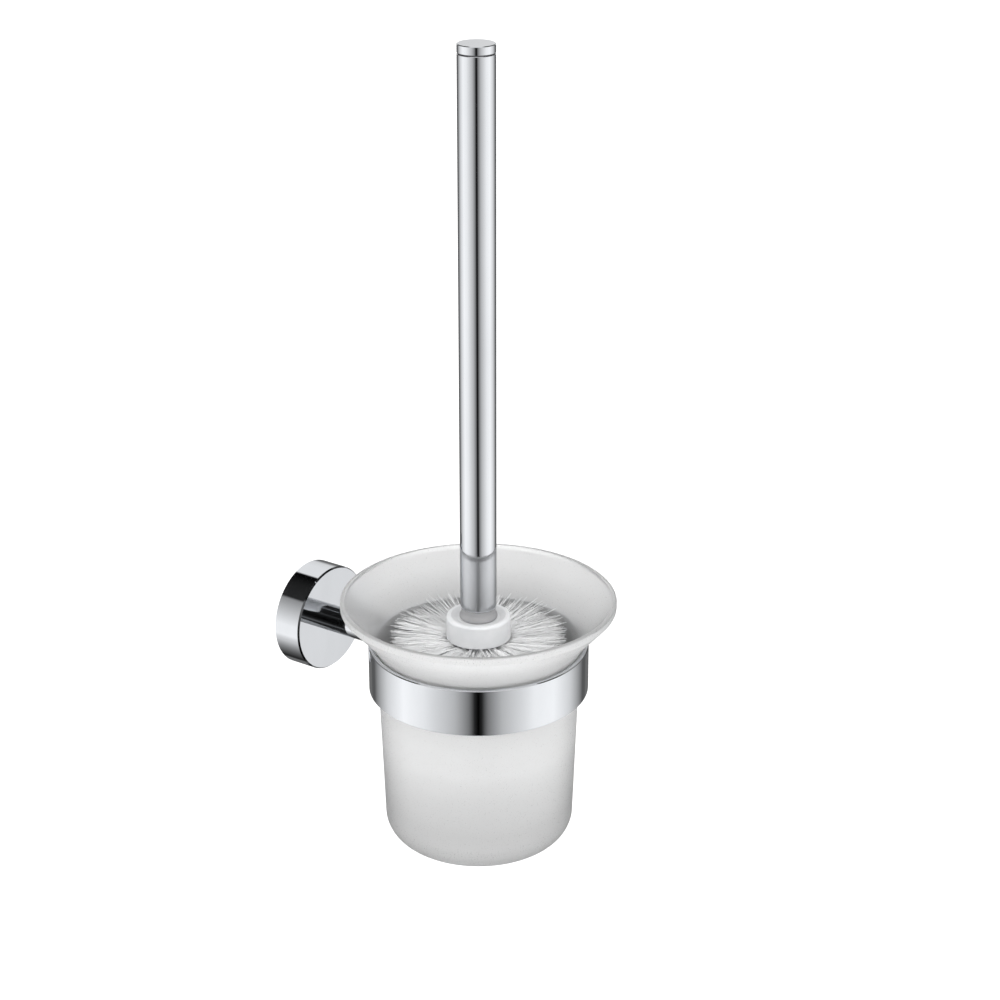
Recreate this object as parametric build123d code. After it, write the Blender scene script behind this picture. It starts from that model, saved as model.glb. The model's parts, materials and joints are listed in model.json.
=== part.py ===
from build123d import *
import math
import os

# Wall-mounted toilet brush holder. Millimetres, +Z up.
# Origin: centre of the flange's back face, on the wall plane y = 0. The holder stands out towards -Y.

# Wall flange
flange_r = 25.0
flange_depth = 14.0
flange_face_t = 2.5
flange_wall_t = 3.6
flange_bevel_depth = 0.8
flange_bevel_width = 0.65
arm_seat_depth = 0.8

# Wall plate inside the flange
plate_r = 21.0
plate_t = 7.0
plate_groove_y = -4.0
plate_groove_depth = 1.6
plate_edge_chamfer = 0.5
slot_spacing = 26.0
slot_r = 2.5
slot_length = 9.0
slot_pocket_r = 4.5
slot_pocket_depth = 3.2

# Arm and its fasteners
arm_r = 6.25
arm_cope = 1.0
thread_gap = 0.05
arm_screw_r = 2.5
arm_screw_head_r = 4.75
arm_screw_head_h = 3.0
arm_screw_head_round = 1.4
arm_screw_recess_depth = 1.8
arm_screw_length = 15.0
washer_r = 5.2
washer_t = 1.0
washer_gap = 0.2
washer_split = 0.6
ring_screw_r = 2.0
ring_screw_head_r = 3.75
ring_screw_length = 12.0
ring_screw_sink = 0.1
ring_screw_recess_depth = 1.3
ring_screw_gap = 0.05
grub_r = 2.0
grub_cone_h = 1.5
grub_tip_r = 0.5
grub_sink = 0.5
grub_point_gap = 0.75
grub_socket_depth = 1.8
grub_socket_r = 1.0
recess_blade_w = 1.1
recess_blade_l = 4.6
tap_run_out = 2.0

# How far a cutter runs past the surface it cuts
clear = 1.0

# Ring band and liner
ring_r = 50.0
ring_wall = 2.0
ring_h = 22.0
ring_edge = 0.35
liner_gap = 0.3
liner_back_gap = 0.05
liner_seat_steps = 4
liner_bottom_z = -8.0
liner_top_z = 10.5

# The brush, cup and ring share one upright axis, in front of the wall
axis_y = -99.0

# Frosted glass cup
cup_base_z = -86.0
cup_floor_t = 5.0
cup_wall = 3.1
cup_base_r = 43.0
cup_throat_r = 46.15
cup_throat_z = 4.5
cup_corner_r = 12.0
cup_inner_corner_r = 9.0
flare_arc_r = 20.0
flare_angle = 42.0
flare_inner_angle = 40.0
rim_r = 62.3
rim_z = 32.7
rim_edge = 0.7

# Brush handle
handle_r = 8.2
tube_wall = 1.0
tube_edge = 0.15
tube_bottom_z = 28.6
tube_bottom_round = 0.8
cap_top_z = 283.2
cap_edge = 0.3
cap_seam_z = 279.0
cap_seal_h = 0.5
cap_seal_sink = 0.3
cap_spigot_l = 11.0
spigot_gap = 0.05
spigot_chamfer = 0.5
insert_top_z = 48.0
insert_bottom_z = 29.2
insert_thread_end_gap = 4.0

# Neck collar and stud
collar_bottom_z = 23.3
collar_waist_z = 26.3
collar_hole_r = 4.3
collar_foot_r = 8.6
collar_foot_round = 0.9
collar_waist_r = 7.8
stud_r = 4.0
stud_top_z = 38.7
stud_bottom_z = 3.0
stud_chamfer = 0.8
stud_groove_z = 8.0
stud_groove_w = 2.0
stud_groove_depth = 0.8

# Brush head
hub_head_r = 14.6
hub_head_bottom_z = 14.0
hub_head_top_z = 24.5
hub_head_round = 1.2
hub_lip_r = 12.4
hub_seat_r = 9.6
hub_r = 12.5
hub_end_z = -50.0
row_count = 7
first_row_z = 10.1
row_pitch = 9.9
row_t = 7.6
bristle_r = 40.0
bristle_end_top_z = -54.0
bristle_end_z = -80.6
root_gap = 0.1

os.makedirs("parts", exist_ok=True)

brush_axis = Pos(0, axis_y, 0)

# The cup's wall leans outwards a little all the way up to its throat
cup_taper = (cup_throat_r - cup_base_r, cup_throat_z - cup_base_z)
cup_taper_angle = math.degrees(math.atan2(*cup_taper))
taper_slope = cup_taper[0] / cup_taper[1]


def save(shape, name):
    """Write one sub-part to its own STEP file."""
    shape.label = name
    export_step(shape, f"parts/{name}.step")


def turned(outline):
    """Spin a closed outline, given as radius and height, about the upright brush axis."""
    face = make_face(Plane.XZ * outline)
    return brush_axis * revolve(face, Axis.Z, 360)


def turned_points(points):
    """Spin a closed polygon of radius and height points about the upright brush axis."""
    return turned(Polyline(*points, close=True))


def rod(radius, y_from, y_to, x=0.0, z=0.0):
    """A cylinder along Y between two depths."""
    length = abs(y_to - y_from)
    middle = (y_from + y_to) / 2
    return Pos(x, middle, z) * Rot(90, 0, 0) * Cylinder(radius, length)


def cone(radius_near_wall, radius_far, y_wall_end, y_far_end):
    """A cone frustum along Y, given by its radius at each end."""
    length = abs(y_wall_end - y_far_end)
    middle = (y_wall_end + y_far_end) / 2
    return Pos(0, middle, 0) * Rot(90, 0, 0) * Cone(radius_near_wall, radius_far, length)


def cross_recess(y_top, depth, into):
    """The cross-shaped driver recess of a screw head. into is +1 if it cuts towards the wall."""
    middle = y_top + into * depth / 2
    blades = Box(recess_blade_w, depth, recess_blade_l) + Box(recess_blade_l, depth, recess_blade_w)
    return Pos(0, middle, 0) * blades


# ---------------------------------------------------------------- wall side

face_y = -flange_depth
face_inner_y = face_y + flange_face_t
seat_y = face_y + arm_seat_depth


def make_wall_plate():
    """Die-cast disc with two slotted, pocketed screw holes and a V groove round its edge."""
    disc = rod(plate_r, 0, -plate_t)
    half = plate_groove_depth + clear
    groove = Polyline(
        (plate_r - plate_groove_depth, plate_groove_y),
        (plate_r + clear, plate_groove_y - half),
        (plate_r + clear, plate_groove_y + half),
        close=True,
    )
    disc -= revolve(make_face(groove), Axis.Y, 360)
    for side in (-1, 1):
        centre = Pos(side * slot_spacing / 2, 0, 0)
        wall_plane = Plane.XZ
        slot = wall_plane * SlotOverall(slot_length, 2 * slot_r)
        pocket_length = slot_length + 2 * (slot_pocket_r - slot_r)
        pocket = wall_plane * SlotOverall(pocket_length, 2 * slot_pocket_r)
        disc -= centre * extrude(slot, plate_t)
        disc -= centre * Pos(0, -plate_t + slot_pocket_depth, 0) * extrude(pocket, slot_pocket_depth)
    front_edge = disc.edges().filter_by(GeomType.CIRCLE).group_by(Axis.Y)[0].sort_by(SortBy.RADIUS)[-1]
    return chamfer(front_edge, plate_edge_chamfer)


def make_flange_cover():
    """Chromed cup that slides over the wall plate and hides it."""
    bevel_y = face_y + flange_bevel_depth
    cover = rod(flange_r, 0, bevel_y)
    cover += cone(flange_r, flange_r - flange_bevel_width, bevel_y, face_y)
    cover -= rod(flange_r - flange_wall_t, 0, face_inner_y)
    cover -= rod(arm_r + thread_gap, face_y, seat_y)
    cover -= rod(arm_screw_r + thread_gap, face_y, face_inner_y)
    grub_hole = Cylinder(grub_r + thread_gap, flange_wall_t + 2 * clear)
    cover -= Pos(0, plate_groove_y, -flange_r + flange_wall_t / 2) * grub_hole
    return cover


def make_grub_screw():
    """Cone-point set screw with a hex socket, driven from below the flange."""
    outer_z = -flange_r + grub_sink
    point_z = -(plate_r - plate_groove_depth) - grub_point_gap
    body_h = point_z - grub_cone_h - outer_z
    body = Pos(0, plate_groove_y, outer_z + body_h / 2) * Cylinder(grub_r, body_h)
    tip = Pos(0, plate_groove_y, point_z - grub_cone_h / 2) * Cone(grub_r, grub_tip_r, grub_cone_h)
    hex_socket = extrude(RegularPolygon(grub_socket_r, 6, major_radius=False), grub_socket_depth)
    return body + tip - Pos(0, plate_groove_y, outer_z) * hex_socket


def make_arm():
    """Round bar, tapped at both ends, with its far end coped to the ring."""
    ring_back_y = axis_y + ring_r
    bar = rod(arm_r, seat_y, ring_back_y - arm_cope)
    bar -= brush_axis * Cylinder(ring_r, ring_h)
    flange_tap_end = face_inner_y - arm_screw_length - tap_run_out
    bar -= rod(arm_screw_r + thread_gap, seat_y, flange_tap_end)
    head_y = axis_y + ring_r - ring_wall + ring_screw_sink
    ring_tap_end = head_y + ring_screw_length + tap_run_out
    bar -= rod(ring_screw_r + thread_gap, ring_back_y - arm_cope, ring_tap_end)
    return bar


def make_arm_screw():
    """Pan-head machine screw that pulls the arm into its seat from inside the flange."""
    under_head_y = face_inner_y + washer_t
    shank = rod(arm_screw_r, under_head_y, face_inner_y - arm_screw_length)
    head = rod(arm_screw_head_r, under_head_y, under_head_y + arm_screw_head_h)
    head = fillet(head.edges().filter_by(GeomType.CIRCLE).sort_by(Axis.Y)[-1], arm_screw_head_round)
    top_y = under_head_y + arm_screw_head_h
    return shank + head - cross_recess(top_y, arm_screw_recess_depth, -1)


def make_arm_washer():
    """Split spring washer under the arm screw's head."""
    ring = rod(washer_r, face_inner_y, face_inner_y + washer_t)
    ring -= rod(arm_screw_r + washer_gap, face_inner_y, face_inner_y + washer_t)
    middle = face_inner_y + washer_t / 2
    split_length = 2 * (washer_r - arm_screw_r) + clear
    split = Pos(0, middle, washer_r) * Box(washer_split, washer_t + clear, split_length)
    return ring - split


# ---------------------------------------------------------------- ring

def make_ring_band():
    """Wide thin band that carries the cup, drilled and countersunk for the arm screw."""
    inner_r = ring_r - ring_wall
    low, high = -ring_h / 2, ring_h / 2
    band = turned_points([
        (inner_r + ring_edge, low), (ring_r - ring_edge, low), (ring_r, low + ring_edge),
        (ring_r, high - ring_edge), (ring_r - ring_edge, high), (inner_r + ring_edge, high),
        (inner_r, high - ring_edge), (inner_r, low + ring_edge),
    ])
    inner_y = axis_y + inner_r
    outer_y = axis_y + ring_r
    band -= rod(ring_screw_r + thread_gap, inner_y - clear, outer_y + clear)
    sink_y = inner_y + ring_screw_sink
    cone_length = ring_screw_head_r - ring_screw_r
    sink_r = ring_screw_head_r + ring_screw_gap
    band -= cone(ring_screw_r + ring_screw_gap, sink_r, sink_y + cone_length, sink_y)
    band -= rod(sink_r, inner_y - clear, sink_y)
    return band


def make_ring_screw():
    """Countersunk screw, from inside the band into the arm."""
    head_y = axis_y + ring_r - ring_wall + ring_screw_sink
    cone_length = ring_screw_head_r - ring_screw_r
    head = cone(ring_screw_r, ring_screw_head_r, head_y + cone_length, head_y)
    shank = rod(ring_screw_r, head_y + cone_length, head_y + ring_screw_length)
    return head + shank - cross_recess(head_y, ring_screw_recess_depth, 1)


def make_liner():
    """Soft liner ring inside the band. The cup's throat sits down into it."""
    outer_r = ring_r - ring_wall - liner_back_gap
    seat = []
    for step in range(liner_seat_steps + 1):
        z = cup_throat_z + (liner_top_z - cup_throat_z) * step / liner_seat_steps
        angle = math.asin((z - cup_throat_z) / flare_arc_r)
        radius = cup_throat_r + flare_arc_r * (1 - math.cos(angle)) + taper_slope * (z - cup_throat_z)
        seat.append((radius + liner_gap, z))
    bottom_r = cup_throat_r + taper_slope * (liner_bottom_z - cup_throat_z) + liner_gap
    return turned_points([
        (bottom_r, liner_bottom_z), *seat, (outer_r, liner_top_z), (outer_r, liner_bottom_z),
    ])


# ---------------------------------------------------------------- cup

def flare_arc(start_r, arc_r, angle):
    """The arc that turns the tapered wall outwards at the throat."""
    return JernArc((start_r, cup_throat_z), cup_taper, arc_r, cup_taper_angle - angle)


def make_glass_cup():
    """Frosted glass cup: thick floor, tapered wall, flared mouth with a ground rim."""
    throat = (cup_throat_r, cup_throat_z)
    outer_body = FilletPolyline((0, cup_base_z), (cup_base_r, cup_base_z), throat, radius=cup_corner_r)
    outer_arc = flare_arc(cup_throat_r, flare_arc_r, flare_angle)
    outer_end = outer_arc @ 1
    outer_rise = (rim_r - outer_end.X) / math.tan(math.radians(flare_angle))
    rim_low = (rim_r, outer_end.Y + outer_rise)
    inner_arc = flare_arc(cup_throat_r - cup_wall, flare_arc_r + cup_wall, flare_inner_angle)
    inner_end = inner_arc @ 1
    inner_run = (rim_z - inner_end.Y) * math.tan(math.radians(flare_inner_angle))
    flare = Polyline(outer_end, rim_low, (rim_r, rim_z), (inner_end.X + inner_run, rim_z), inner_end)
    floor_z = cup_base_z + cup_floor_t
    inner_floor_r = cup_base_r - cup_wall
    inner_body = FilletPolyline(
        inner_arc @ 0, (inner_floor_r, floor_z), (0, floor_z), radius=cup_inner_corner_r
    )
    axis_line = Line((0, floor_z), (0, cup_base_z))
    outline = Curve() + [outer_body, outer_arc, flare, inner_arc, inner_body, axis_line]
    face = make_face(Plane.XZ * outline)
    rim_corners = face.vertices().filter_by(lambda v: v.Z > outer_end.Y + outer_rise - rim_edge)
    face = fillet(rim_corners, rim_edge)
    return brush_axis * revolve(face, Axis.Z, 360)


# ---------------------------------------------------------------- handle

tube_inner_r = handle_r - tube_wall
spigot_r = tube_inner_r - spigot_gap


def make_handle_tube():
    """The chromed tube, from the cap down to the neck collar."""
    tube = turned_points([
        (tube_inner_r, tube_bottom_z), (handle_r, tube_bottom_z), (handle_r, cap_seam_z - tube_edge),
        (handle_r - tube_edge, cap_seam_z), (tube_inner_r, cap_seam_z),
    ])
    lowest = tube.edges().filter_by(GeomType.CIRCLE).group_by(Axis.Z)[0]
    return fillet(lowest.sort_by(SortBy.RADIUS)[-1], tube_bottom_round)


def make_handle_cap():
    """Flat end cap with a spigot that is pressed into the tube."""
    spigot_z = cap_seam_z - cap_spigot_l
    rim_low_z = cap_seam_z + cap_seal_h
    return turned_points([
        (0, spigot_z), (spigot_r - spigot_chamfer, spigot_z), (spigot_r, spigot_z + spigot_chamfer),
        (spigot_r, rim_low_z), (handle_r - tube_edge, rim_low_z), (handle_r, rim_low_z + tube_edge),
        (handle_r, cap_top_z - cap_edge), (handle_r - cap_edge, cap_top_z), (0, cap_top_z),
    ])


def make_cap_seal():
    """Thin dark seal, seen as a line between the cap and the tube."""
    inner_r = spigot_r + spigot_gap
    outer_r = handle_r - cap_seal_sink
    top_z = cap_seam_z + cap_seal_h
    return turned_points([
        (inner_r, cap_seam_z), (outer_r, cap_seam_z), (outer_r, top_z), (inner_r, top_z),
    ])


def make_handle_insert():
    """Moulded plug, pressed into the tube's lower end, with the female thread."""
    bore_r = stud_r + thread_gap
    bore_top = stud_top_z + insert_thread_end_gap
    return turned_points([
        (bore_r, insert_bottom_z), (spigot_r, insert_bottom_z),
        (spigot_r, insert_top_z - spigot_chamfer), (spigot_r - spigot_chamfer, insert_top_z),
        (0, insert_top_z), (0, bore_top), (bore_r, bore_top),
    ])


# ---------------------------------------------------------------- neck and brush head

def make_neck_collar():
    """Grey collar between the tube and the hub, waisted, with a rounded foot."""
    foot_centre = (collar_foot_r - collar_foot_round, collar_bottom_z + collar_foot_round)
    foot = CenterArc(foot_centre, collar_foot_round, 270, 90)
    side = Spline(
        foot @ 1, (collar_waist_r, collar_waist_z), (collar_waist_r, tube_bottom_z),
        tangents=[(0, 1), (0, 1)],
    )
    rest = Polyline(
        (collar_waist_r, tube_bottom_z), (collar_hole_r, tube_bottom_z),
        (collar_hole_r, collar_bottom_z), foot @ 0,
    )
    return turned(Curve() + [foot, side, rest])


stud_groove = [
    (stud_r, stud_groove_z), (stud_r - stud_groove_depth, stud_groove_z),
    (stud_r - stud_groove_depth, stud_groove_z + stud_groove_w), (stud_r, stud_groove_z + stud_groove_w),
]


def make_head_stud():
    """Steel stud moulded into the hub, grooved below so that it can't pull out."""
    return turned_points([
        (0, stud_bottom_z), (stud_r, stud_bottom_z), *stud_groove,
        (stud_r, stud_top_z - stud_chamfer), (stud_r - stud_chamfer, stud_top_z), (0, stud_top_z),
    ])


def make_brush_hub():
    """White hub: a drum-shaped head with a shallow seat for the collar, over a core with a round end."""
    head_edge = CenterArc(
        (hub_head_r - hub_head_round, hub_head_top_z - hub_head_round), hub_head_round, 0, 90
    )
    inside = Polyline(
        head_edge @ 1, (hub_lip_r, hub_head_top_z), (hub_seat_r, collar_bottom_z),
        (stud_r, collar_bottom_z), *reversed(stud_groove), (stud_r, stud_bottom_z),
        (0, stud_bottom_z), (0, hub_end_z - hub_r),
    )
    end = CenterArc((0, hub_end_z), hub_r, -90, 90)
    side = Polyline(
        (hub_r, hub_end_z), (hub_r, hub_head_bottom_z), (hub_head_r, hub_head_bottom_z), head_edge @ 0,
    )
    return turned(Curve() + [head_edge, inside, end, side])


def make_bristle_row(z):
    """The space one ring of tufts fills round the core."""
    low, high = z - row_t / 2, z + row_t / 2
    inner_r = hub_r + root_gap
    return turned_points([(inner_r, low), (bristle_r, low), (bristle_r, high), (inner_r, high)])


def make_bristle_end():
    """The space the tufts at the round end fill."""
    drop = bristle_end_top_z - bristle_end_z
    hollow_r = hub_r + root_gap
    below = hub_end_z - bristle_end_top_z
    inner_r = math.sqrt(hollow_r ** 2 - below ** 2)
    inner_angle = math.degrees(math.asin(below / hollow_r))
    outside = EllipticalCenterArc((0, bristle_end_top_z), bristle_r, drop, start_angle=270, arc_size=90)
    top = Line((bristle_r, bristle_end_top_z), (inner_r, bristle_end_top_z))
    inside = CenterArc((0, hub_end_z), hollow_r, -90, 90 - inner_angle)
    axis_line = Line((0, hub_end_z - hollow_r), (0, bristle_end_z))
    return turned(Curve() + [outside, top, inside, axis_line])


save(make_wall_plate(), "wall_plate")
save(make_flange_cover(), "flange_cover")
save(make_grub_screw(), "flange_grub_screw")
save(make_arm_screw(), "arm_screw")
save(make_arm_washer(), "arm_washer")
save(make_arm(), "arm")
save(make_ring_band(), "ring_band")
save(make_ring_screw(), "ring_screw")
save(make_liner(), "ring_liner")
save(make_glass_cup(), "glass_cup")
save(make_handle_tube(), "handle_tube")
save(make_handle_cap(), "handle_cap")
save(make_cap_seal(), "cap_seal")
save(make_handle_insert(), "handle_insert")
save(make_neck_collar(), "neck_collar")
save(make_head_stud(), "head_stud")
save(make_brush_hub(), "brush_hub")
for row in range(row_count):
    save(make_bristle_row(first_row_z - row * row_pitch), f"bristle_row_{row + 1}")
save(make_bristle_end(), "bristle_end")
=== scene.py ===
import json
import math
import random

import bpy
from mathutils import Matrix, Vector


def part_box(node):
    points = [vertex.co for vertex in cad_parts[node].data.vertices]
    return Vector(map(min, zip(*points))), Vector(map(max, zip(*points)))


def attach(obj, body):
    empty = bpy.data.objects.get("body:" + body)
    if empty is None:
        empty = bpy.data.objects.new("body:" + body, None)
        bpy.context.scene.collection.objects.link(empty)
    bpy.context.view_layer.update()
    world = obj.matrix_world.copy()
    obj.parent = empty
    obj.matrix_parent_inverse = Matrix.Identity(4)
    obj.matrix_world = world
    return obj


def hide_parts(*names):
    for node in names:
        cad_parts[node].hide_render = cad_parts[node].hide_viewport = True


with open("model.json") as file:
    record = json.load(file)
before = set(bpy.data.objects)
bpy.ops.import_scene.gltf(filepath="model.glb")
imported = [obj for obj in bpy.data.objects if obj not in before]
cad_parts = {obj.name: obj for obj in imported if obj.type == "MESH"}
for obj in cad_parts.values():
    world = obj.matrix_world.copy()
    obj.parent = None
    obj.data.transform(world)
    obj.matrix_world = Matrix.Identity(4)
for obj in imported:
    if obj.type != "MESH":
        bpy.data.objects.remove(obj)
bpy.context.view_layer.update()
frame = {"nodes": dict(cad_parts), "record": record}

MM = 0.001
scene = bpy.context.scene

# ---------------------------------------------------------------- places read from the frame

ring_low, ring_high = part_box("ring_band")
axis_x = (ring_low.x + ring_high.x) / 2
axis_y = (ring_low.y + ring_high.y) / 2
ring_top = ring_high.z
hub_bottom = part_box("brush_hub")[0].z
row_names = [f"bristle_row_{i}" for i in range(1, 8)]


def link(name, verts, faces, smooth=True):
    """A new mesh object in the scene."""
    mesh = bpy.data.meshes.new(name)
    mesh.from_pydata(verts, [], faces)
    mesh.validate()
    if smooth:
        mesh.polygons.foreach_set("use_smooth", [True] * len(mesh.polygons))
    obj = bpy.data.objects.new(name, mesh)
    scene.collection.objects.link(obj)
    return obj


# ---------------------------------------------------------------- materials

def material(name):
    """An empty node material with a Principled shader."""
    mat = bpy.data.materials.new(name)
    mat.use_nodes = True
    return mat, mat.node_tree, mat.node_tree.nodes["Principled BSDF"]


def node(tree, kind, **values):
    """Add a node and set its inputs by name."""
    made = tree.nodes.new(kind)
    for key, value in values.items():
        made.inputs[key.replace("_", " ")].default_value = value
    return made


def object_noise(tree, scale, detail=3.0, stretch=(1, 1, 1)):
    """Noise in the object's own coordinates, in metres, stretched along an axis if asked."""
    coords = tree.nodes.new("ShaderNodeTexCoord")
    mapping = tree.nodes.new("ShaderNodeMapping")
    mapping.inputs["Scale"].default_value = stretch
    noise = node(tree, "ShaderNodeTexNoise", Scale=scale, Detail=detail)
    tree.links.new(coords.outputs["Object"], mapping.inputs["Vector"])
    tree.links.new(mapping.outputs["Vector"], noise.inputs["Vector"])
    return noise.outputs["Fac"]


def ramp(tree, source, stops):
    """A colour ramp from (place, colour) stops."""
    made = tree.nodes.new("ShaderNodeValToRGB")
    elements = made.color_ramp.elements
    elements.remove(elements[1])
    elements[0].position = stops[0][0]
    elements[0].color = (*stops[0][1], 1.0)
    for place, colour in stops[1:]:
        elements.new(place).color = (*colour, 1.0)
    tree.links.new(source, made.inputs["Fac"])
    return made.outputs["Color"]


def spread(tree, source, low, high, from_low=0.3, from_high=0.7):
    """Map a value onto a range, by default for a noise value."""
    made = node(tree, "ShaderNodeMapRange")
    made.inputs["From Min"].default_value = from_low
    made.inputs["From Max"].default_value = from_high
    made.inputs["To Min"].default_value = low
    made.inputs["To Max"].default_value = high
    tree.links.new(source, made.inputs["Value"])
    return made.outputs["Result"]


def bump(tree, shader, height, distance, strength=1.0):
    """Drive the shader's normal from a height."""
    made = tree.nodes.new("ShaderNodeBump")
    made.inputs["Strength"].default_value = strength
    made.inputs["Distance"].default_value = distance
    tree.links.new(height, made.inputs["Height"])
    tree.links.new(made.outputs["Normal"], shader.inputs["Normal"])


def polished_chrome():
    """Bright plated brass: faint wiping marks and a nearly flat, slightly uneven mirror."""
    mat, tree, shader = material("polished_chrome")
    shader.inputs["Metallic"].default_value = 1.0
    smear = object_noise(tree, 60, 4, (1, 1, 0.35))
    colour = ramp(tree, smear, [(0.3, (0.86, 0.88, 0.91)), (0.7, (0.91, 0.93, 0.96))])
    tree.links.new(colour, shader.inputs["Base Color"])
    fine = object_noise(tree, 900, 3, (1, 1, 0.15))
    tree.links.new(spread(tree, fine, 0.025, 0.07), shader.inputs["Roughness"])
    bump(tree, shader, object_noise(tree, 45, 1), 0.00002)
    return mat


def cast_metal(name, low, high, rough, scale):
    """Plain zinc or plated steel with grain and mottling."""
    mat, tree, shader = material(name)
    shader.inputs["Metallic"].default_value = 0.95
    mottle = object_noise(tree, scale, 6)
    tree.links.new(ramp(tree, mottle, [(0.3, low), (0.7, high)]), shader.inputs["Base Color"])
    tree.links.new(spread(tree, mottle, rough, rough + 0.15), shader.inputs["Roughness"])
    bump(tree, shader, object_noise(tree, scale * 4, 4), 0.00004)
    return mat


def frosted_glass():
    """Acid-etched glass: white, translucent and rough, with a fine grain and painted shade by height."""
    mat, tree, shader = material("frosted_glass")
    shader.inputs["Transmission Weight"].default_value = 0.78
    shader.inputs["IOR"].default_value = 1.45
    cloud = object_noise(tree, 35, 4)
    colour = ramp(tree, cloud, [(0.3, (0.95, 0.952, 0.952)), (0.7, (0.975, 0.978, 0.978))])
    place = tree.nodes.new("ShaderNodeTexCoord")
    height = tree.nodes.new("ShaderNodeSeparateXYZ")
    tree.links.new(place.outputs["Object"], height.inputs["Vector"])
    # heights in mm: painted shade, greyer towards the base, and a painted shadow of the ring in the hollow
    # just above it
    low, high = -90, 35
    from_base = spread(tree, height.outputs["Z"], 0.0, 1.0, low * MM, high * MM)
    painted_shade_tones = [(-66, 0.7), (-34, 1.0), (0, 1.0), (8, 0.8), (15, 0.8), (25, 1.0)]
    painted_shade = ramp(tree, from_base, [((z - low) / (high - low), (tone, tone, tone)) for z, tone in painted_shade_tones])
    painted_shade_mix = tree.nodes.new("ShaderNodeMix")
    painted_shade_mix.data_type = "RGBA"
    painted_shade_mix.blend_type = "MULTIPLY"
    painted_shade_mix.inputs["Factor"].default_value = 1.0
    tree.links.new(colour, painted_shade_mix.inputs["A"])
    tree.links.new(painted_shade, painted_shade_mix.inputs["B"])
    tree.links.new(painted_shade_mix.outputs["Result"], shader.inputs["Base Color"])
    grain = object_noise(tree, 2600, 2)
    tree.links.new(spread(tree, grain, 0.27, 0.35), shader.inputs["Roughness"])
    bump(tree, shader, grain, 0.00003)
    return mat


def soft_liner():
    """Translucent white liner ring."""
    mat, tree, shader = material("soft_liner")
    shader.inputs["Subsurface Weight"].default_value = 0.3
    shader.inputs["Subsurface Radius"].default_value = (0.002, 0.002, 0.002)
    tone = object_noise(tree, 200, 4)
    colour = ramp(tree, tone, [(0.3, (0.62, 0.63, 0.64)), (0.7, (0.72, 0.73, 0.74))])
    tree.links.new(colour, shader.inputs["Base Color"])
    tree.links.new(spread(tree, tone, 0.5, 0.65), shader.inputs["Roughness"])
    bump(tree, shader, object_noise(tree, 1500, 3), 0.00003)
    return mat


def moulded_plastic(name, low, high, rough, grain, subsurface=0.0):
    """Moulded plastic with slight colour variation and a fine grain."""
    mat, tree, shader = material(name)
    tone = object_noise(tree, 120, 5)
    tree.links.new(ramp(tree, tone, [(0.3, low), (0.7, high)]), shader.inputs["Base Color"])
    tree.links.new(spread(tree, object_noise(tree, 700, 3), rough, rough + 0.12), shader.inputs["Roughness"])
    shader.inputs["Subsurface Weight"].default_value = subsurface
    shader.inputs["Subsurface Radius"].default_value = (0.003, 0.003, 0.003)
    bump(tree, shader, object_noise(tree, grain, 3), 0.00004)
    return mat


def nylon():
    """White nylon filament, a little see-through."""
    mat, tree, shader = material("nylon_filament")
    tone = object_noise(tree, 900, 2)
    colour = ramp(tree, tone, [(0.3, (0.965, 0.97, 0.975)), (0.7, (0.985, 0.99, 0.99))])
    tree.links.new(colour, shader.inputs["Base Color"])
    tree.links.new(spread(tree, tone, 0.45, 0.65), shader.inputs["Roughness"])
    shader.inputs["Subsurface Weight"].default_value = 0.1
    shader.inputs["Subsurface Radius"].default_value = (0.001, 0.001, 0.001)
    return mat


MATERIALS = {
    "polished_chrome": polished_chrome(),
    "cast_zinc": cast_metal("cast_zinc", (0.42, 0.43, 0.44), (0.58, 0.58, 0.59), 0.42, 260),
    "plated_steel": cast_metal("plated_steel", (0.58, 0.57, 0.55), (0.7, 0.7, 0.69), 0.28, 500),
    "frosted_glass": frosted_glass(),
    "soft_liner": soft_liner(),
    "dark_rubber": moulded_plastic("dark_rubber", (0.02, 0.02, 0.022), (0.035, 0.035, 0.038), 0.55, 1600),
    "grey_plastic": moulded_plastic("grey_plastic", (0.24, 0.24, 0.245), (0.29, 0.29, 0.295), 0.5, 1800),
    "white_plastic": moulded_plastic(
        "white_plastic", (0.6, 0.61, 0.62), (0.67, 0.675, 0.685), 0.3, 1400, 0.15),
    "nylon_filament": nylon(),
}

slot_of = {part["node"]: part["material_slot"] for part in frame["record"]["subparts"]}
for name, obj in frame["nodes"].items():
    if not name.startswith("bristle"):
        obj.data.materials.clear()
        obj.data.materials.append(MATERIALS[slot_of[name]])


# ---------------------------------------------------------------- bristles

FILAMENT_R = 0.13 * MM
FILAMENT_TAPER = 0.35      # how much thinner the tip is
FILAMENT_BOW = 0.03        # spread of the bow, as a share of the length
FILAMENT_STEPS = 5
FILAMENT_SIDES = 3
HUB_R = 12.5 * MM
ROOT_R = HUB_R - 0.3 * MM  # the threads start just inside the hub's surface
HOLE_R = 1.3 * MM          # of the hole that one tuft is set in
ROW_TUFTS = 26
ROW_THREADS = 55           # threads in a tuft
TOP_ROW_THREADS = 40
TOP_ROW_RISE = 3.0 * MM    # the top row stands up, free of the rows below
END_THREADS = 90
END_RINGS = ((72, 14), (50, 11), (27, 7), (0, 1))  # degrees from straight down, tufts


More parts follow.
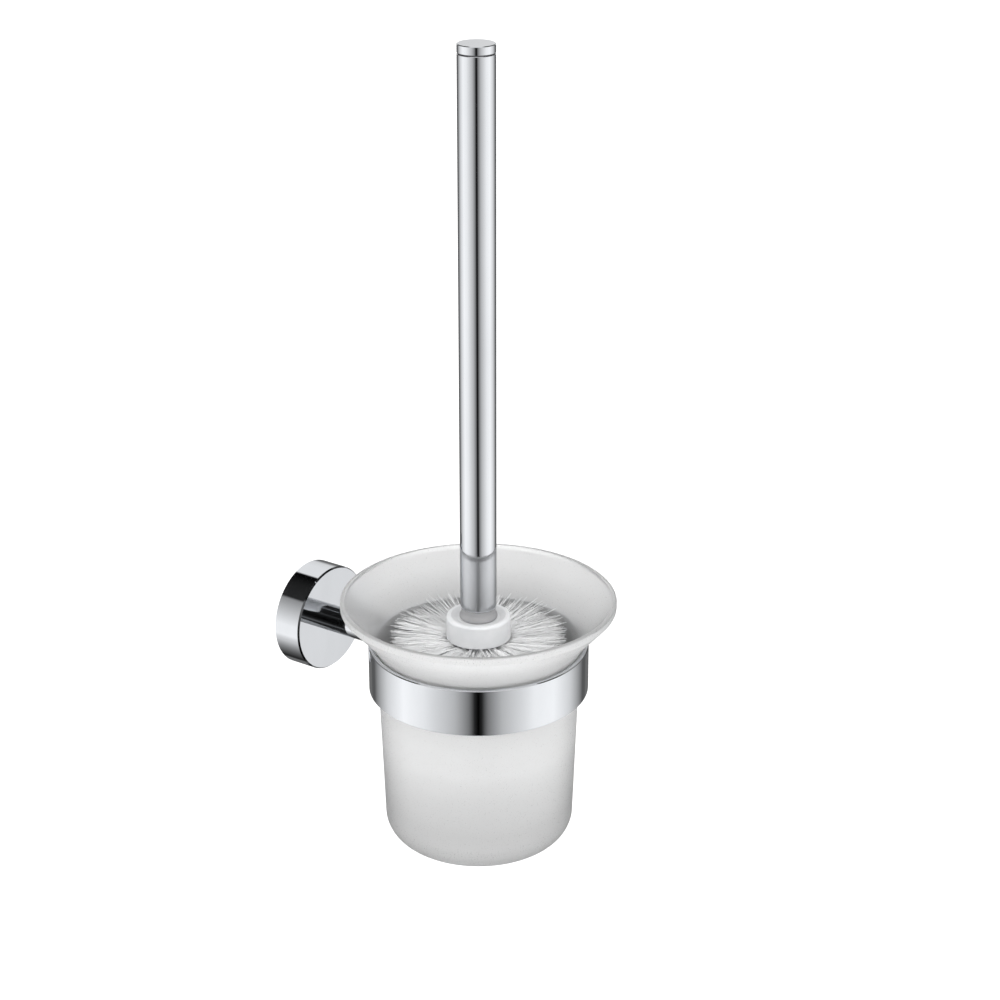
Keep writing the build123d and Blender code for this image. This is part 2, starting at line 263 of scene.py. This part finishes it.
def filament(verts, faces, path, radius):
    """Add one thin tapering thread along a list of points."""
    start = len(verts)
    for i, point in enumerate(path):
        ahead = path[min(i + 1, len(path) - 1)] - path[max(i - 1, 0)]
        side = ahead.cross(Vector((0.13, 0.29, 0.95))).normalized()
        other = ahead.cross(side).normalized()
        size = radius * (1.0 - FILAMENT_TAPER * i / (len(path) - 1))
        for k in range(FILAMENT_SIDES):
            turn = math.tau * k / FILAMENT_SIDES
            verts.append(point + size * (math.cos(turn) * side + math.sin(turn) * other))
    for i in range(len(path) - 1):
        for k in range(FILAMENT_SIDES):
            a = start + i * FILAMENT_SIDES + k
            b = start + i * FILAMENT_SIDES + (k + 1) % FILAMENT_SIDES
            faces.append((a, b, b + FILAMENT_SIDES, a + FILAMENT_SIDES))
    faces.append(tuple(start + k for k in reversed(range(FILAMENT_SIDES))))
    end = start + (len(path) - 1) * FILAMENT_SIDES
    faces.append(tuple(end + k for k in range(FILAMENT_SIDES)))


def grow(rng, verts, faces, root, tip):
    """One filament from its root to its tip, bowed a little to one side."""
    span = tip - root
    sideways = Vector((rng.gauss(0, 1), rng.gauss(0, 1), rng.gauss(0, 1)))
    sideways -= sideways.project(span)
    bow = sideways.normalized() * abs(rng.gauss(0, FILAMENT_BOW)) * span.length
    path = []
    for i in range(FILAMENT_STEPS + 1):
        t = i / FILAMENT_STEPS
        path.append(root + span * t + bow * (4 * t * (1 - t)) * 0.5)
    filament(verts, faces, path, FILAMENT_R * rng.uniform(0.85, 1.15))


def around_axis(radius, turn, z):
    """A point at a radius and angle round the brush's axis."""
    return Vector((axis_x + radius * math.cos(turn), axis_y + radius * math.sin(turn), z))


def bristle_row(name, seed, threads, rise):
    """A ring of nylon tufts set in the hub's side, splayed towards their tips."""
    low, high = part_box(name)
    centre_z = (low.z + high.z) / 2
    tip_r = (high.x - low.x) / 2
    rng = random.Random(seed)
    verts, faces = [], []
    offset = rng.uniform(0, math.tau)
    for t in range(ROW_TUFTS):
        middle = offset + math.tau * (t + rng.uniform(-0.08, 0.08)) / ROW_TUFTS
        for _ in range(threads):
            spin, out = rng.uniform(0, math.tau), math.sqrt(rng.uniform(0, 1))
            sideways, upwards = math.cos(spin) * out, math.sin(spin) * out
            root_turn = middle + sideways * HOLE_R / HUB_R
            root_z = centre_z + upwards * HOLE_R + rise * 0.7
            tip_turn = middle + (sideways + rng.gauss(0, 0.38)) * 5.6 * MM / tip_r
            tip_z = centre_z + (upwards + rng.gauss(0, 0.45)) * 3.4 * MM
            tip_z += rise * rng.uniform(0.7, 1.7)
            reach = tip_r + (0.4 - abs(rng.gauss(0, 2.6))) * MM
            root = around_axis(ROOT_R, root_turn, root_z)
            grow(rng, verts, faces, root, around_axis(reach, tip_turn, tip_z))
    return link(name + "_tufts", verts, faces)


def bristle_end(name, seed, threads):
    """Rings of tufts over the hub's round end, fanning down to the cup's floor."""
    low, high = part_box(name)
    rng = random.Random(seed)
    verts, faces = [], []
    centre = Vector((axis_x, axis_y, hub_bottom + HUB_R))
    reach_side = (high.x - low.x) / 2
    reach_down = centre.z - low.z
    for ring, (polar, count) in enumerate(END_RINGS):
        tilt = math.radians(polar)
        for t in range(count):
            turn = math.tau * (t + 0.5 * ring) / count
            aim = Vector((math.sin(tilt) * math.cos(turn), math.sin(tilt) * math.sin(turn), -math.cos(tilt)))
            across = aim.cross(Vector((0.3, 0.2, 1))).normalized()
            along = aim.cross(across)
            for _ in range(threads):
                spin, out = rng.uniform(0, math.tau), math.sqrt(rng.uniform(0, 1))
                outwards = across * math.cos(spin) + along * math.sin(spin)
                root = centre + aim * ROOT_R + outwards * out * HOLE_R
                fan = outwards * (out * 0.17 + rng.gauss(0, 0.03))
                way = (aim + fan).normalized()
                flat = math.hypot(way.x, way.y)
                reach = 1 / math.sqrt((flat / reach_side) ** 2 + (way.z / reach_down) ** 2)
                tip = centre + way * (reach - rng.uniform(0.2, 1.8) * MM)
                grow(rng, verts, faces, root, tip)
    return link(name + "_tufts", verts, faces)


def fit_tufts(tufts, name):
    """Put the tufts in the place of their CAD solid."""
    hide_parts(name)
    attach(tufts, "brush_head")
    tufts.data.materials.append(MATERIALS["nylon_filament"])


for index, name in enumerate(row_names):
    top = index == 0
    threads, rise = (TOP_ROW_THREADS, TOP_ROW_RISE) if top else (ROW_THREADS, 0.0)
    fit_tufts(bristle_row(name, 11 + index, threads, rise), name)
fit_tufts(bristle_end("bristle_end", 41, END_THREADS), "bristle_end")


# ---------------------------------------------------------------- stage, light and camera

CAMERA_AZIMUTH = math.radians(55.344)
CAMERA_PITCH = math.radians(22.466)
CAMERA_DISTANCE = 0.973773  # metres from the middle of the ring's top edge, level
CAMERA_HEIGHT = 0.47204     # above it
CAMERA_SIDE = 0.00972       # to the right of it
LENS_MM = 85.707
AMBIENT_FRONT = 2.15    # soft light from the camera's side, for everything but reflections
AMBIENT_BACK = 0.6      # the same from behind
AMBIENT_SIDES = 0.4     # added to both sides
AMBIENT_THROUGH = 1.15  # the most that is seen through the glass
FLOOR_GLOW = 3.8        # of the floor on the camera's side, fading towards the back
FLOOR_GLOW_BACK = 0.2
FLOOR_HALF = 6.0
FLOOR_DROP = 0.75       # below the middle of the wall flange

ahead = Vector((math.sin(CAMERA_AZIMUTH), math.cos(CAMERA_AZIMUTH), 0))
right = Vector((math.cos(CAMERA_AZIMUTH), -math.sin(CAMERA_AZIMUTH), 0))


def make_camera():
    data = bpy.data.cameras.new("camera")
    data.lens = LENS_MM
    data.sensor_width = 36.0
    data.clip_start = 0.01
    data.clip_end = 50.0
    camera = bpy.data.objects.new("camera", data)
    scene.collection.objects.link(camera)
    base = Vector((axis_x, axis_y, ring_top))
    camera.location = base - ahead * CAMERA_DISTANCE + right * CAMERA_SIDE + Vector((0, 0, CAMERA_HEIGHT))
    camera.rotation_euler = (math.pi / 2 - CAMERA_PITCH, 0, -CAMERA_AZIMUTH)
    scene.camera = camera


def make_floor():
    """A floor well below the holder: white to the camera, and glowing as soft light from below.
    The chrome's reflections and the view through the glass leave it out."""
    corners = ((-1, -1), (1, -1), (1, 1), (-1, 1))
    verts = [(x * FLOOR_HALF, y * FLOOR_HALF, -FLOOR_DROP) for x, y in corners]
    floor = link("stage_floor", verts, [(0, 1, 2, 3)], smooth=False)
    mat, tree, shader = material("stage_floor")
    shader.inputs["Base Color"].default_value = (0.2, 0.2, 0.2, 1)
    shader.inputs["Roughness"].default_value = 0.9
    shader.inputs["Emission Color"].default_value = (1, 1, 1, 1)
    path = tree.nodes.new("ShaderNodeLightPath")
    place = tree.nodes.new("ShaderNodeTexCoord")
    side = tree.nodes.new("ShaderNodeVectorMath")
    side.operation = "DOT_PRODUCT"
    side.inputs[1].default_value = -ahead
    tree.links.new(place.outputs["Object"], side.inputs[0])
    seen = node(tree, "ShaderNodeMapRange")
    tree.links.new(path.outputs["Is Camera Ray"], seen.inputs["Value"])
    glow = spread(tree, side.outputs["Value"], FLOOR_GLOW_BACK, FLOOR_GLOW, -0.8, 1.0)
    tree.links.new(glow, seen.inputs["To Min"])
    tree.links.new(seen.outputs["Result"], shader.inputs["Emission Strength"])
    floor.data.materials.append(mat)
    floor.visible_glossy = False
    floor.visible_transmission = False


def grey(value):
    """A neutral colour."""
    return (value, value, value)


def make_world():
    """Studio surround. Reflections see two broad soft lights with a dark gap between them, and a pale
    wall and ceiling behind the object. Diffuse and transmitted rays see a smooth glow, brighter in
    front and at the sides, and the camera sees plain white."""
    world = bpy.data.worlds.new("studio")
    scene.world = world
    world.use_nodes = True
    tree = world.node_tree
    background = tree.nodes["Background"]
    coords = tree.nodes.new("ShaderNodeTexCoord")

    def dot(vector):
        made = tree.nodes.new("ShaderNodeVectorMath")
        made.operation = "DOT_PRODUCT"
        made.inputs[1].default_value = vector
        tree.links.new(coords.outputs["Generated"], made.inputs[0])
        return made.outputs["Value"]

    def math_node(operation, *values):
        made = tree.nodes.new("ShaderNodeMath")
        made.operation = operation
        for slot, value in zip(made.inputs, values):
            if isinstance(value, (int, float)):
                slot.default_value = value
            else:
                tree.links.new(value, slot)
        return made.outputs[0]

    def blend(factor, low, high, mode="MIX"):
        made = tree.nodes.new("ShaderNodeMix")
        made.data_type = "RGBA"
        made.blend_type = mode
        for key, value in (("Factor", factor), ("A", low), ("B", high)):
            slot = made.inputs[key]
            if isinstance(value, (int, float, tuple)):
                slot.default_value = value
            else:
                tree.links.new(value, slot)
        return made.outputs["Result"]

    def over_height(stops):
        """A ramp over the sine of the elevation, from straight down to straight up."""
        from_below = math_node("MULTIPLY_ADD", rise, 0.5, 0.5)
        return ramp(tree, from_below, [((h + 1) / 2, grey(c)) for h, c in stops])

    def over_turn(stops):
        """A ramp over the angle away from the camera's side, in degrees, the same to left and right."""
        half_turn = math_node("MULTIPLY", off_camera, 1 / 180)
        return ramp(tree, half_turn, [(d / 180, grey(c)) for d, c in stops])

    rise = dot((0, 0, 1))
    across = dot(right)
    turn = math_node("MULTIPLY", math_node("ARCTAN2", across, dot(-ahead)), 180 / math.pi)
    off_camera = math_node("ABSOLUTE", turn)

    # a broad soft light each side, dark between them, fading upwards and downwards
    lights = over_turn([(0, 0), (4, 0.02), (10, 0.2), (25, 0.5), (60, 0.9), (85, 1), (110, 0.7), (140, 0.1)])
    fade = over_height([(-0.85, 0.1), (-0.5, 1), (-0.2, 1), (0.55, 0.3), (0.6, 0.02)])
    lights = blend(1.0, lights, fade, "MULTIPLY")

    # in front and low down, under the camera, it is dark
    under = over_turn([(0, 0.04), (30, 0.12), (85, 1)])
    lights = blend(spread(tree, rise, 1.0, 0.0, -0.62, -0.53), lights, blend(1.0, lights, under, "MULTIPLY"))

    # behind the object it is dark low down, with a pale wall above, and the ceiling is pale
    behind = over_height([(0, 0.15), (0.2, 0.7), (0.5, 0.8)])
    surround = blend(spread(tree, off_camera, 0.0, 1.0, 148.0, 152.0), lights, behind)
    surround = blend(spread(tree, rise, 0.0, 1.0, 0.88, 0.94), surround, (*grey(0.7), 1))

    # what each kind of ray sees
    path = tree.nodes.new("ShaderNodeLightPath")
    reflected = math_node("MULTIPLY", math_node("GREATER_THAN", path.outputs["Glossy Depth"], 0.5),
                          math_node("SUBTRACT", 1.0, path.outputs["Is Diffuse Ray"]))
    soft = spread(tree, dot(-ahead + Vector((0, 0, -0.35))), AMBIENT_BACK, AMBIENT_FRONT, -0.8, 0.4)
    soft = math_node("MULTIPLY_ADD", math_node("ABSOLUTE", across), AMBIENT_SIDES, soft)
    through = math_node("MINIMUM", soft, AMBIENT_THROUGH)
    soft = blend(path.outputs["Is Transmission Ray"], soft, through)
    plain = blend(path.outputs["Is Camera Ray"], soft, (1, 1, 1, 1))
    tree.links.new(blend(reflected, plain, surround), background.inputs["Color"])


make_camera()
make_floor()
make_world()
scene.view_settings.view_transform = "Standard"
